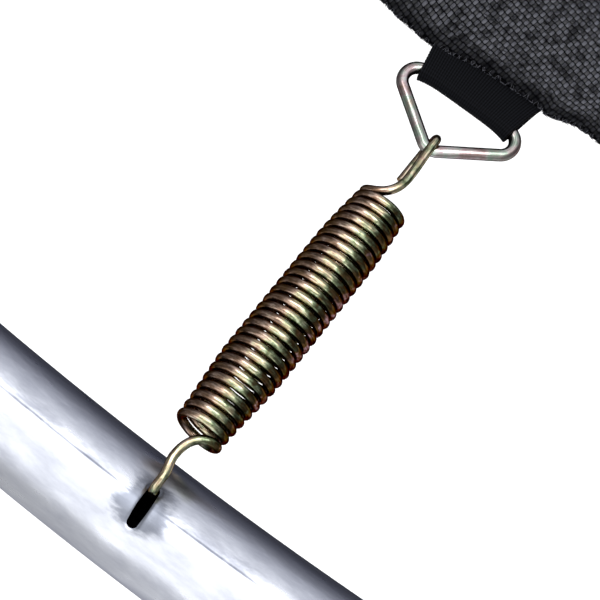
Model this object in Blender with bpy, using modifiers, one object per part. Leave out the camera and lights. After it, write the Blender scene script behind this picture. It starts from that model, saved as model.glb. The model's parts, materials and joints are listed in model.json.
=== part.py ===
"""One spring station of a round trampoline: frame tube, spring, triangular ring, webbing tab and mat.

Metres, +Z up. The station stands on a flat surface as it would on a bench: the frame tube and the mat
lie on z = 0 and the spring slopes down from the slot to the mat. +X runs along the tube, +Y from the
tube to the mat. The origin is under the middle of the whole station.
"""
import math

import bmesh
import bpy
import numpy as np
from mathutils import Matrix, Vector

# Frame tube
frame_radius = 1.503          # centreline of the round frame
stations_round = 56           # springs round the frame
tube_diameter = 0.042
tube_wall = 0.0015
slot_length = 0.0162
slot_play = 0.0005            # between the spring's wire and each side of the slot
slot_lean = math.radians(7.9)     # the slot is punched this far from the top, towards the mat
slot_skew = math.radians(3.7)
slot_offset = 0.0010              # sideways, at the slot's middle

# Spring: one wire, tapered at both ends, with an open hook at each end
wire_diameter = 0.0032
coil_diameter = 0.0231        # outside
frame_end_diameter = 0.0192   # outside, last coil at the frame
mat_end_diameter = 0.0196     # outside, last coil at the mat
coil_whole_turns = 27         # and half a turn more, to the side that the mat hook leaves from
turn_opening = 0.0006         # between one turn and the next, at the tension shown
frame_taper_turns = 8.5
mat_taper_turns = 7.0
hook_gap = 0.0066             # inside each hook's bend
frame_hook_reach = 0.0192     # from the bend's centre to the first coil
mat_hook_reach = 0.0265       # from the last coil to the bend's centre
frame_hook_drop = 0.0016      # the frame hook's bend sits this far below the spring's axis
hook_twist = 0.001            # the mat hook's two legs lean this far to either side
frame_hook_sweep = math.radians(145)
mat_hook_sweep = math.pi
frame_hook_tip = 0.003        # straight, past each hook's bend
mat_hook_tip = 0.0133
leg_rise = 0.0046             # where the wire leaves its last turn, before it bends over to the hook
leg_crown = 0.0009            # the bend over stands this far above the leg
frame_leg_share = 0.6         # of the frame hook's reach that the first curve takes
frame_leg_crossing = 0.001    # sideways, towards -X
frame_leg_lift = 0.0006
mat_leg_length = 0.0115
mat_leg_crossing = 0.0017     # sideways, towards +X
mat_leg_crown = 0.0005

# Triangular ring
ring_wire_diameter = 0.0045
ring_width = 0.051            # outside, along the bar
ring_height = 0.0242          # apex to bar, centre to centre
ring_apex_bend = 0.005        # centreline radii
ring_corner_bend = 0.0056
ring_butt_gap = 0.0004
ring_butt_offset = -0.006

# Webbing and mat
webbing_thickness = 0.0012
tab_overrun = 0.0014          # of the tab onto each of the ring's corner bends
bar_lift = 0.00064            # from the surface to the tab's fold under the ring's bar
tab_sewn_length = 0.034
edge_webbing_width = 0.038
mat_thickness = 0.0008
mat_width = 0.146
mat_depth = 0.076
mat_drop_start = 0.041        # from the mat's edge, where it leaves the sewn layers
mat_drop_length = 0.016
bar_to_mat_edge = 0.0118
edge_webbing_inset = 0.002    # from the mat's edge
edge_flat = 0.003             # the plies lie flat and parallel from this far inside the mat's edge
hem_width = 0.036
thread_diameter = 0.0006
hem_row_places = (0.005, 0.031)
tab_row_places = (0.009, 0.016, 0.023)
row_end_margin = 0.002        # from the end of each hem row to the mat's cut side

wire_cut_share = 0.25         # of the wire's diameter, left where its one length is cut into three nodes
clearance = 0.0003            # between pieces that touch
ply_gap = 0.0002              # between the two plies of one folded strip
weld_distance = 0.00001

tube_radius = tube_diameter / 2
wire_radius = wire_diameter / 2
ring_wire_radius = ring_wire_diameter / 2
wire_cut = wire_cut_share * wire_diameter
bend_radius = (hook_gap + wire_diameter) / 2
half_pitch_angle = math.pi / stations_round
slot_width = wire_diameter + 2 * slot_play
coil_turns = coil_whole_turns + 0.5
coil_pitch = wire_diameter + turn_opening
coil_length = coil_turns * coil_pitch
tab_width = ring_width - ring_wire_diameter - 2 * ring_corner_bend + 2 * tab_overrun
frame_hook_seat = hook_gap / 2 - clearance                  # bend's centre to the slot's end
ring_seat = hook_gap / 2 - clearance - ring_wire_radius     # bend's centre to the ring's apex
bar_height = bar_lift + webbing_thickness + clearance + ring_wire_radius

# The slot's mat-side end, on the tube's outside
slot_end_angle = slot_lean + math.asin(slot_length / 2 / tube_radius)
slot_end = Vector((0, math.sin(slot_end_angle), 1 + math.cos(slot_end_angle))) * tube_radius


def slope_to_bar():
    """The spring's slope, at which its line from the slot's end meets the ring's bar at its height."""
    reach = frame_hook_seat + frame_hook_reach + coil_length + mat_hook_reach + ring_seat + ring_height
    offset = frame_hook_drop - tube_wall / 2
    return math.asin((slot_end.z - bar_height) / math.hypot(reach, offset)) + math.atan2(offset, reach)


spring_slope = slope_to_bar()
across = Vector((1, 0, 0))
along = Vector((0, math.cos(spring_slope), -math.sin(spring_slope)))
above = Vector((0, math.sin(spring_slope), math.cos(spring_slope)))

# The wall's end sits in the middle of the hook's bend, a clearance inside it.
frame_pivot = slot_end - above * tube_wall / 2 + along * frame_hook_seat
coil_start = frame_pivot + above * frame_hook_drop + along * frame_hook_reach
coil_end = coil_start + along * coil_length
mat_bend_centre = coil_end + along * mat_hook_reach
ring_apex = mat_bend_centre + along * ring_seat
ring_bar = ring_apex + along * ring_height


def clear_scene():
    for item in list(bpy.data.objects):
        bpy.data.objects.remove(item, do_unlink=True)


def new_collection(name):
    group = bpy.data.collections.new(name)
    bpy.context.scene.collection.children.link(group)
    return group


def finish_material(name, colour, roughness, metallic):
    material = bpy.data.materials.new(name)
    material.use_nodes = True
    shader = material.node_tree.nodes["Principled BSDF"]
    shader.inputs["Base Color"].default_value = (*colour, 1)
    shader.inputs["Roughness"].default_value = roughness
    shader.inputs["Metallic"].default_value = metallic
    return material


def add_part(name, data, material, parent):
    item = bpy.data.objects.new(name, data)
    parts.objects.link(item)
    item.parent = parent
    data.materials.append(material)
    return item


def add_empty(name, place):
    holder = bpy.data.objects.new(name, None)
    parts.objects.link(holder)
    holder.location = place
    return holder


def wire_curve(name, points, diameter, sides, start_tilt=0.0):
    """A round wire with flat ends through the points."""
    curve = bpy.data.curves.new(name, "CURVE")
    curve.dimensions = "3D"
    curve.bevel_depth = diameter / 2
    curve.bevel_resolution = (sides - 4) // 2
    curve.use_fill_caps = True
    spline = curve.splines.new("POLY")
    spline.points.add(len(points) - 1)
    for point, place in zip(spline.points, points):
        point.co = (*place, 1)
        point.tilt = start_tilt
    return curve


def flat_outline(name, outline, width):
    """A closed outline in the YZ plane, given as (y, z), and drawn out along X."""
    curve = bpy.data.curves.new(name, "CURVE")
    curve.dimensions = "2D"
    curve.fill_mode = "BOTH"
    curve.extrude = width / 2
    spline = curve.splines.new("POLY")
    spline.points.add(len(outline) - 1)
    for point, (y, z) in zip(spline.points, outline):
        point.co = (y, z, 0, 1)
    spline.use_cyclic_u = True
    return curve


def stand_profile(item):
    """Turn a flat outline so that its drawing lies in YZ and its width along X."""
    item.rotation_euler = Matrix(((0, 0, 1), (1, 0, 0), (0, 1, 0))).to_euler()


def strip_outline(middle, thickness):
    """The closed outline of a strip whose middle line is given."""
    line = np.array(middle)
    step = np.gradient(line, axis=0)
    step /= np.linalg.norm(step, axis=1)[:, None]
    side = np.stack([-step[:, 1], step[:, 0]], axis=1) * thickness / 2
    return np.concatenate([line + side, (line - side)[::-1]])


def bezier(a, b, c, d, steps):
    """Points of a cubic curve, without its first point."""
    points = []
    for i in range(1, steps + 1):
        t = i / steps
        points.append(a * (1 - t) ** 3 + b * 3 * t * (1 - t) ** 2 + c * 3 * t * t * (1 - t) + d * t ** 3)
    return points


def as_mesh(item):
    """Replace a curve object by a welded mesh object of the same name."""
    evaluated = item.evaluated_get(bpy.context.evaluated_depsgraph_get())
    mesh = bpy.data.meshes.new_from_object(evaluated)
    work = bmesh.new()
    work.from_mesh(mesh)
    bmesh.ops.remove_doubles(work, verts=work.verts, dist=weld_distance)
    work.to_mesh(mesh)
    work.free()
    solid = bpy.data.objects.new(item.name, mesh)
    solid.parent = item.parent
    solid.matrix_basis = item.matrix_basis
    for group in list(item.users_collection):
        group.objects.link(solid)
    name = item.name
    bpy.data.objects.remove(item)
    solid.name = name
    return solid


def coil_radius(turn):
    """Centreline radius at a turn counted from the frame end."""
    from_frame = min(turn / frame_taper_turns, 1)
    from_mat = min((coil_turns - turn) / mat_taper_turns, 1)
    frame_share = from_frame ** 2 * (3 - 2 * from_frame)
    mat_share = math.sin(from_mat * math.pi / 2)
    frame_side = frame_end_diameter + (coil_diameter - frame_end_diameter) * frame_share
    mat_side = mat_end_diameter + (coil_diameter - mat_end_diameter) * mat_share
    return (min(frame_side, mat_side) - wire_diameter) / 2


def coil_point(turn):
    angle = 2 * math.pi * turn
    radius = coil_radius(turn)
    ring = across * math.cos(angle) - above * math.sin(angle)
    return coil_start + along * coil_pitch * turn + ring * radius


def coil_points(first, last, steps_per_turn=14):
    count = round((last - first) * steps_per_turn)
    return [coil_point(first + (last - first) * i / count) for i in range(count + 1)]


def bend_points(centre, back, sweep, steps):
    """A hook's round bend from its top, turning away from back, without its first point."""
    points = []
    for i in range(1, steps + 1):
        angle = math.pi / 2 + sweep * i / steps
        points.append(centre + (back * math.cos(angle) + above * math.sin(angle)) * bend_radius)
    return points


def build_tube(material, parent):
    """A slice of the round frame, one station long, with its slot."""
    centre = Vector((0, frame_radius, tube_radius))
    sides = 36
    segments = 22
    path = []
    for i in range(segments + 1):
        angle = half_pitch_angle * (2 * i / segments - 1)
        path.append(centre + Vector((math.sin(angle), -math.cos(angle), 0)) * frame_radius)
    curve = wire_curve("frame_tube", path, tube_diameter, sides, math.pi / sides)
    curve.use_fill_caps = False
    tube = as_mesh(add_part("frame_tube", curve, material, parent))
    wall = tube.modifiers.new("wall", "SOLIDIFY")
    wall.thickness = tube_wall
    wall.offset = -1
    wall.use_even_offset = True
    cut = tube.modifiers.new("slot", "BOOLEAN")
    cut.operation = "DIFFERENCE"
    cut.solver = "EXACT"
    cut.object = build_slot_cutter(parent)
    tube.data.shade_smooth()
    tube.data.set_sharp_from_angle(angle=math.radians(30))
    return tube


def build_slot_cutter(parent):
    """A round-ended bar, through the tube's top wall only."""
    half_width = slot_width / 2
    straight = slot_length / 2 - half_width
    outline = []
    for i in range(13):
        angle = math.pi * i / 12
        outline.append((half_width * math.cos(angle), straight + half_width * math.sin(angle)))
    for i in range(13):
        angle = math.pi + math.pi * i / 12
        outline.append((half_width * math.cos(angle), -straight + half_width * math.sin(angle)))
    curve = bpy.data.curves.new("slot_cutter", "CURVE")
    curve.dimensions = "2D"
    curve.fill_mode = "BOTH"
    curve.extrude = tube_radius / 3
    spline = curve.splines.new("POLY")
    spline.points.add(len(outline) - 1)
    for point, (x, y) in zip(spline.points, outline):
        point.co = (x, y, 0, 1)
    spline.use_cyclic_u = True
    item = bpy.data.objects.new("slot_cutter", curve)
    cutters.objects.link(item)
    item.parent = parent
    lean = Matrix.Rotation(-slot_lean, 4, "X")
    out = lean @ Vector((0, 0, 1))
    place = Vector((slot_offset, 0, tube_radius)) + out * tube_radius
    item.matrix_basis = Matrix.Translation(place) @ lean @ Matrix.Rotation(slot_skew, 4, "Z")
    cutter = as_mesh(item)
    cutter.hide_render = True
    cutter.display_type = "WIRE"
    return cutter


def frame_hook_points():
    """From the coil's first turn to the tip inside the tube."""
    start = coil_point(0)
    entry = across * (slot_offset - slot_length / 2 * math.sin(slot_skew))
    leg_height = bend_radius - frame_hook_drop
    over = coil_start - across * frame_leg_crossing + above * (leg_height + leg_crown)
    leg_start = (coil_start - along * frame_leg_share * frame_hook_reach - across * frame_leg_crossing
                 + above * (leg_height + frame_leg_lift))
    leg_end = frame_pivot + entry + above * bend_radius
    ease = (leg_start - leg_end).length / 3
    points = [start]
    points += bezier(start, start + above * leg_rise, over, leg_start, 10)
    points += bezier(leg_start, leg_start - along * ease, leg_end + along * ease, leg_end, 5)
    points += bend_points(frame_pivot + entry, along, frame_hook_sweep, 9)
    direction = (points[-1] - points[-2]).normalized()
    points.append(points[-1] + direction * frame_hook_tip)
    return points


def mat_hook_points():
    """From the coil's last turn round the ring's apex and back."""
    start = coil_point(coil_turns)
    side = across * hook_twist
    over = coil_end + across * mat_leg_crossing + above * (bend_radius + mat_leg_crown)
    leg_start = coil_end + along * mat_leg_length + across * mat_leg_crossing + above * bend_radius
    leg_end = mat_bend_centre + side + above * bend_radius
    ease = (leg_end - leg_start).length / 3
    points = [start]
    points += bezier(start, start + above * leg_rise, over, leg_start, 10)
    points += bezier(leg_start, leg_start + along * ease, leg_end - along * ease, leg_end, 4)
    bend = bend_points(mat_bend_centre, -along, mat_hook_sweep, 10)
    for i, point in enumerate(bend, 1):
        points.append(point + side * math.cos(math.pi * i / len(bend)))
    points.append(points[-1] - along * mat_hook_tip)
    return points


def ring_points():
    """The ring's wire from one side of its butt joint round to the other, in its own plane."""
    half_width = (ring_width - ring_wire_diameter) / 2
    apex_arc = np.array((0, ring_apex_bend))
    corner_arc = np.array((half_width - ring_corner_bend, ring_height - ring_corner_bend))
    reach = corner_arc - apex_arc
    spread = (ring_corner_bend - ring_apex_bend) / np.linalg.norm(reach)
    tangent = math.atan2(reach[1], reach[0]) - math.asin(spread)
    right = []
    for i in range(10):
        angle = math.pi / 2 - (math.pi - tangent) * i / 9
        right.append(corner_arc + ring_corner_bend * np.array((math.cos(angle), math.sin(angle))))
    for i in range(7):
        angle = tangent - math.pi / 2 - tangent * i / 7
        right.append(apex_arc + ring_apex_bend * np.array((math.cos(angle), math.sin(angle))))
    left = [np.array((-x, y)) for x, y in reversed(right)]
    first = np.array((ring_butt_offset + ring_butt_gap / 2, ring_height))
    last = np.array((ring_butt_offset - ring_butt_gap / 2, ring_height))
    bottom = [np.array((0.0, 0.0))]
    flat = [first] + right + bottom + left + [last]
    return [ring_apex + across * x + along * y for x, y in flat]


def tab_middle(edge_y, lower, upper):
    """Middle line of the webbing: sewn end, bar, round it and back."""
    radius = ring_wire_radius + clearance + webbing_thickness / 2
    bar = np.array((ring_bar.y, ring_bar.z))
    lean_low = math.atan2(lower - bar[1] + radius, edge_y - bar[0])
    lean_high = math.atan2(bar[1] + radius - upper, edge_y - bar[0])
    line = [np.array((edge_y + tab_sewn_length, lower)), np.array((edge_y + tab_sewn_length / 2, lower))]
    line += [np.array((edge_y + edge_flat, lower)), np.array((edge_y, lower))]
    start = lean_low - math.pi / 2
    sweep = math.pi + lean_low + lean_high
    for i in range(15):
        angle = start - sweep * i / 14
        line.append(bar + radius * np.array((math.cos(angle), math.sin(angle))))
    line += [np.array((edge_y, upper)), np.array((edge_y + edge_flat, upper))]
    line += [np.array((edge_y + tab_sewn_length / 2, upper)), np.array((edge_y + tab_sewn_length, upper))]
    return line


def mat_middle(edge_y, lower, upper):
    """Middle line of the mat's cloth: hem ply, fold at the edge, top ply and the drop to the surface."""
    fold = (upper - lower) / 2
    nose = edge_y + fold + mat_thickness / 2
    line = [(edge_y + hem_width, lower), (edge_y + hem_width / 2, lower), (edge_y + edge_flat, lower)]
    for i in range(9):
        angle = -math.pi / 2 - math.pi * i / 8
        line.append((nose + fold * math.cos(angle), lower + fold + fold * math.sin(angle)))
    line += [(edge_y + edge_flat, upper), (edge_y + mat_drop_start / 2, upper)]
    floor = mat_thickness / 2
    for i in range(9):
        t = i / 8
        drop = (floor - upper) * t * t * (3 - 2 * t)
        line.append((edge_y + mat_drop_start + mat_drop_length * t, upper + drop))
    line.append((edge_y + mat_depth, floor))
    return line


def thread_row(y, z, width):
    """A sewn row: one thread, seen as a thin bead."""
    steps = 6
    return [Vector((-width / 2 + width * i / steps, y, z)) for i in range(steps + 1)]


def add_stitch_rows(name, places, width, material, parent):
    for number, y in enumerate(places, 1):
        row_name = f"{name}_{number}"
        points = thread_row(mat_edge + y, thread_middle, width)
        add_part(row_name, wire_curve(row_name, points, thread_diameter, 8), material, parent)


clear_scene()
parts = new_collection("trampoline_spring_station")
cutters = new_collection("cutters")

galvanised = finish_material("galvanised_steel", (0.56, 0.58, 0.62), 0.38, 1.0)
yellow_zinc = finish_material("yellow_zinc", (0.62, 0.50, 0.30), 0.22, 1.0)
clear_zinc = finish_material("clear_zinc", (0.72, 0.70, 0.68), 0.20, 1.0)
polyester = finish_material("black_polyester", (0.012, 0.012, 0.014), 0.75, 0.0)
woven_mat = finish_material("woven_polypropylene", (0.03, 0.03, 0.034), 0.50, 0.0)
thread = finish_material("black_thread", (0.01, 0.01, 0.011), 0.60, 0.0)

# The layers under the mat's edge, from the surface up
mat_edge = ring_bar.y + bar_to_mat_edge
edge_webbing_middle = webbing_thickness / 2
tab_lower = webbing_thickness * 1.5 + clearance
tab_upper = tab_lower + webbing_thickness + ply_gap
hem_lower = tab_upper + webbing_thickness / 2 + clearance + mat_thickness / 2
hem_upper = hem_lower + mat_thickness + ply_gap
thread_middle = hem_upper + (mat_thickness + thread_diameter) / 2 + clearance

station_middle = (mat_edge + mat_depth - tube_radius) / 2
station = add_empty("station", (0, -station_middle, 0))
build_tube(galvanised, station)
add_part("spring_frame_hook", wire_curve("spring_frame_hook", frame_hook_points(), wire_diameter, 8),
         yellow_zinc, station)
turn_gap = wire_cut / (math.pi * (frame_end_diameter - wire_diameter))
coil_wire = coil_points(turn_gap, coil_turns - turn_gap)
add_part("spring_coil", wire_curve("spring_coil", coil_wire, wire_diameter, 8), yellow_zinc, station)
add_part("spring_mat_hook", wire_curve("spring_mat_hook", mat_hook_points(), wire_diameter, 8),
         yellow_zinc, station)
add_part("v_ring", wire_curve("v_ring", ring_points(), ring_wire_diameter, 10), clear_zinc, station)

tab = strip_outline(tab_middle(mat_edge, tab_lower, tab_upper), webbing_thickness)
stand_profile(add_part("webbing_tab", flat_outline("webbing_tab", tab, tab_width), polyester, station))
edge_start = mat_edge + edge_webbing_inset
edge_line = [(edge_start, edge_webbing_middle), (edge_start + edge_webbing_width, edge_webbing_middle)]
strip = strip_outline(edge_line, webbing_thickness)
stand_profile(add_part("edge_webbing", flat_outline("edge_webbing", strip, mat_width), polyester, station))
mat = strip_outline(mat_middle(mat_edge, hem_lower, hem_upper), mat_thickness)
stand_profile(add_part("mat_panel", flat_outline("mat_panel", mat, mat_width), woven_mat, station))
add_stitch_rows("hem_stitch_row", hem_row_places, mat_width - 2 * row_end_margin, thread, station)
add_stitch_rows("tab_stitch_row", tab_row_places, tab_width, thread, station)
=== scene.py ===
import json
import math

import bmesh
import bpy
import numpy as np
from mathutils import Matrix, Vector, kdtree


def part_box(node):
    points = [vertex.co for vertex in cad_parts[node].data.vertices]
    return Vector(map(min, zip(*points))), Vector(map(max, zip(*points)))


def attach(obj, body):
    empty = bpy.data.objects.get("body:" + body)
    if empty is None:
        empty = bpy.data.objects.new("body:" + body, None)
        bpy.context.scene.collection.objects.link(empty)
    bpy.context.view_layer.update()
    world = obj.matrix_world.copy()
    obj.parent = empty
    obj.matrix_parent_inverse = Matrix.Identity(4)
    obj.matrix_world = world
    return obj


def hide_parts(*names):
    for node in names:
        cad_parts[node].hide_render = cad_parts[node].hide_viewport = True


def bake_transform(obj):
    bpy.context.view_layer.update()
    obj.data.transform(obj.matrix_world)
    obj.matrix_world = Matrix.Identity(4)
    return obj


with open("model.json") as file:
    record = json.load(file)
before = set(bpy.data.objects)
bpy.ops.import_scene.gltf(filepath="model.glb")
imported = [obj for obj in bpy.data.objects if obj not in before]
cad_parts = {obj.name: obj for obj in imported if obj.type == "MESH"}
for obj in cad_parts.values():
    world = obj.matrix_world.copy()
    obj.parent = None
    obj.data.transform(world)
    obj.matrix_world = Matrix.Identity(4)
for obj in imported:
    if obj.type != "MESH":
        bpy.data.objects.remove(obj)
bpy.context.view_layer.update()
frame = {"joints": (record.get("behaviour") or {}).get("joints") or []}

# places and directions that the frame gives
joints = {joint["name"]: joint for joint in frame["joints"]}
framePivot = Vector(joints["frame_hook_swing"]["pos_m"])    # middle of the hook's bend in the slot
ringApex = Vector(joints["ring_swing"]["pos_m"])            # the ring's wire inside the spring's mat hook
ringBar = Vector(joints["mat_hinge"]["pos_m"])              # the ring's wire inside the webbing
across = Vector((1, 0, 0))
along = Vector(joints["spring_stretch"]["axis"]).normalized()   # down the spring, from the tube to the mat
above = across.cross(along)
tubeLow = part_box("frame_tube")[0]
matLow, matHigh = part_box("mat_panel")


# ---- helpers

def linear(hexColour):
    values = [int(hexColour[i:i + 2], 16) / 255 for i in (1, 3, 5)]
    return tuple(v / 12.92 if v <= 0.04045 else ((v + 0.055) / 1.055) ** 2.4 for v in values) + (1.0,)


def smoothStep(value):
    t = min(max(value, 0.0), 1.0)
    return t * t * (3 - 2 * t)


def fillSockets(tree, node, values):
    # values by the sockets' names or in their order; a node stands for its first output
    for name, value in values.items() if isinstance(values, dict) else enumerate(values):
        if isinstance(value, bpy.types.Node):
            value = value.outputs[0]
        if isinstance(value, bpy.types.NodeSocket):
            tree.links.new(value, node.inputs[name])
        else:
            node.inputs[name].default_value = value


def addNode(tree, kind, settings=None, inputs=()):
    node = tree.nodes.new("ShaderNode" + kind)
    for name, value in (settings or {}).items():
        if name == "stops":                       # (place, colour) pairs of a colour ramp
            stops = node.color_ramp.elements
            while len(stops) < len(value):
                stops.new(1)
            for stop, (place, colour) in zip(stops, value):
                stop.position = place
                stop.color = linear(colour)
        else:
            setattr(node, name, value)
    fillSockets(tree, node, inputs)
    return node


eased = {"interpolation_type": "SMOOTHSTEP"}       # a range that starts and ends softly
times = {"operation": "MULTIPLY"}
timesPlus = {"operation": "MULTIPLY_ADD"}


def newMaterial(name, finish):
    material = bpy.data.materials.new(name)
    material.use_nodes = True
    shader = material.node_tree.nodes["Principled BSDF"]
    fillSockets(material.node_tree, shader, finish)
    return material, material.node_tree, shader


def addPiece(name, mesh, material):
    mesh.name = name
    piece = bpy.data.objects.new(name, mesh)
    bpy.context.scene.collection.objects.link(piece)
    mesh.materials.clear()
    mesh.materials.append(material)
    mesh.shade_smooth()
    return piece


def meshOf(bm):
    mesh = bpy.data.meshes.new("mesh")
    bm.to_mesh(mesh)
    bm.free()
    return mesh


def appliedMesh(piece):
    # the piece's mesh with its modifiers applied
    bpy.context.view_layer.update()
    return bpy.data.meshes.new_from_object(piece.evaluated_get(bpy.context.evaluated_depsgraph_get()))


def movedPoints(mesh, place):
    # every vertex goes where place sends the whole array of them
    points = np.empty(len(mesh.vertices) * 3)
    mesh.vertices.foreach_get("co", points)
    points = place(points.reshape(-1, 3))
    mesh.vertices.foreach_set("co", points.ravel())
    mesh.update()
    return mesh


def wireMesh(lines, diameter, sides, flatness=None):
    # a round wire, or a flat tape where flatness gives its half width, along each line of points
    curve = bpy.data.curves.new("line", "CURVE")
    curve.dimensions = "3D"
    curve.bevel_depth = diameter / 2
    curve.bevel_resolution = max((sides - 4) // 2, 0)
    curve.use_fill_caps = True
    if flatness:
        curve.extrude = flatness
        curve.twist_mode = "Z_UP"
    for line in lines:
        spline = curve.splines.new("POLY")
        spline.points.add(len(line) - 1)
        for point, place in zip(spline.points, line):
            point.co = (*place[:3], 1)
            point.radius = place[3] if len(place) > 3 else 1
            point.tilt = math.pi / 2 if flatness else 0
    item = bpy.data.objects.new("line", curve)
    bpy.context.scene.collection.objects.link(item)
    mesh = bpy.data.meshes.new_from_object(item.evaluated_get(bpy.context.evaluated_depsgraph_get()))
    bpy.data.objects.remove(item)
    bm = bmesh.new()
    bm.from_mesh(mesh)
    bmesh.ops.remove_doubles(bm, verts=bm.verts, dist=0.00001)
    bmesh.ops.recalc_face_normals(bm, faces=bm.faces)
    return meshOf(bm)


def markWire(mesh, line):
    # keep the length along the wire, and the place round it, of every vertex for the materials
    nearest = kdtree.KDTree(len(line))
    for i, point in enumerate(line):
        nearest.insert(point, i)
    nearest.balance()
    length, sides = [0.0], [above.copy()]
    for i in range(1, len(line)):
        step = line[i] - line[i - 1]
        length.append(length[-1] + step.length)
        side = sides[-1] - step * (sides[-1].dot(step) / step.length_squared)
        sides.append(side.normalized())
    flat = []
    for vert in mesh.vertices:
        point, i, _ = nearest.find(vert.co)
        offset = vert.co - point
        tangent = (line[min(i + 1, len(line) - 1)] - line[max(i - 1, 0)]).normalized()
        flat += (length[i] + offset.dot(tangent), offset.dot(sides[i]), offset.dot(tangent.cross(sides[i])))
    mesh.attributes.new("flat", "FLOAT_VECTOR", "POINT").data.foreach_set("vector", flat)
    return mesh


def easedLine(a, b, c, d, steps):
    # a cubic curve's points, without its first one
    line = []
    for i in range(1, steps + 1):
        t = i / steps
        line.append(a * (1 - t) ** 3 + b * 3 * t * (1 - t) ** 2 + c * 3 * t * t * (1 - t) + d * t ** 3)
    return line


# ---- spring: one wire, with a coil between two hooks

spring = dict(
    wire=0.0033, coil=0.0232, frameEnd=0.0192, matEnd=0.0196,      # diameters, the coil's outside
    turns=27.5, pitch=0.0038, frameTaper=8.5, matTaper=7.0,
    hookGap=0.0066, frameReach=0.0192, matReach=0.0265, frameDrop=0.0016,
    slotEntry=0.0005, frameSweep=math.radians(145), frameTip=0.003, matTip=0.0133,
    frameLean=-0.001, frameOver=0.0009, frameLeg=0.0006, frameLegShare=0.6,
    matLean=0.0017, matOver=0.0005, matLeg=0.0115, twist=0.001, rise=0.0046,
    stepsPerTurn=44, riseSteps=30, legSteps=10, frameBendSteps=26, matBendSteps=30, sides=16, snip=0.0003,
    sharp=math.radians(50))
bendRadius = (spring["hookGap"] + spring["wire"]) / 2
coilStart = framePivot + above * spring["frameDrop"] + along * spring["frameReach"]
coilEnd = coilStart + along * spring["turns"] * spring["pitch"]
matBend = coilEnd + along * spring["matReach"]


def coilPoint(turn):
    angle = 2 * math.pi * turn
    fromFrame = smoothStep(turn / spring["frameTaper"])
    fromMat = math.sin(min((spring["turns"] - turn) / spring["matTaper"], 1) * math.pi / 2)
    frameSide = spring["frameEnd"] + (spring["coil"] - spring["frameEnd"]) * fromFrame
    matSide = spring["matEnd"] + (spring["coil"] - spring["matEnd"]) * fromMat
    radius = (min(frameSide, matSide) - spring["wire"]) / 2
    ring = across * math.cos(angle) - above * math.sin(angle)
    return coilStart + along * spring["pitch"] * turn + ring * radius


def hookBend(centre, back, sweep, steps):
    line = []
    for i in range(1, steps + 1):
        angle = math.pi / 2 + sweep * i / steps
        line.append(centre + (back * math.cos(angle) + above * math.sin(angle)) * bendRadius)
    return line


def frameHook():
    # from the coil's first turn over to the slot, and round the wall's edge
    start = coilPoint(0)
    legHeight = bendRadius - spring["frameDrop"]
    beside = coilStart + across * spring["frameLean"]
    over = beside + above * (legHeight + spring["frameOver"])
    legStart = beside - along * spring["frameLegShare"] * spring["frameReach"]
    legStart += above * (legHeight + spring["frameLeg"])
    bendMiddle = framePivot + across * spring["slotEntry"]
    legEnd = bendMiddle + above * bendRadius
    ease = (legStart - legEnd).length / 3
    line = easedLine(start, start + above * spring["rise"], over, legStart, spring["riseSteps"])
    line += easedLine(legStart, legStart - along * ease, legEnd + along * ease, legEnd, spring["legSteps"])
    line += hookBend(bendMiddle, along, spring["frameSweep"], spring["frameBendSteps"])
    line.append(line[-1] + (line[-1] - line[-2]).normalized() * spring["frameTip"])
    return line


def matHook():
    # from the coil's last turn up to the spring's middle, round the ring and back
    start = coilPoint(spring["turns"])
    side = across * spring["twist"]
    lean = across * spring["matLean"] + above * bendRadius
    over = coilEnd + lean + above * spring["matOver"]
    legStart = coilEnd + lean + along * spring["matLeg"]
    legEnd = matBend + side + above * bendRadius
    ease = (legEnd - legStart).length / 3
    line = easedLine(start, start + above * spring["rise"], over, legStart, spring["riseSteps"])
    line += easedLine(legStart, legStart + along * ease, legEnd - along * ease, legEnd, spring["legSteps"])
    bend = hookBend(matBend, -along, math.pi, spring["matBendSteps"])
    line += [point + side * math.cos(math.pi * i / len(bend)) for i, point in enumerate(bend, 1)]
    line.append(line[-1] - along * spring["matTip"])
    return line


def snipped(line, length):
    # closer points at both ends, so that a cut end's corner stays tight
    first = line[0] + (line[1] - line[0]).normalized() * length
    last = line[-1] + (line[-2] - line[-1]).normalized() * length
    return [line[0], first] + line[1:-1] + [last, line[-1]]


def makeSpring(material):
    steps = round(spring["turns"] * spring["stepsPerTurn"])
    coil = [coilPoint(spring["turns"] * i / steps) for i in range(steps + 1)]
    line = snipped(list(reversed(frameHook())) + coil + matHook(), spring["snip"])
    mesh = markWire(wireMesh([line], spring["wire"], spring["sides"]), line)
    piece = addPiece("springWire", mesh, material)
    piece.data.set_sharp_from_angle(angle=spring["sharp"])
    return piece


# ---- ring: one wire, its two ends butted inside the webbing

ring = dict(wire=0.0045, width=0.051, height=(ringBar - ringApex).length, apexBend=0.005, cornerBend=0.0056,
            buttGap=0.0004, buttPlace=-0.006, arcSteps=22, sides=26, snip=0.0003, sharp=math.radians(50))


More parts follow.
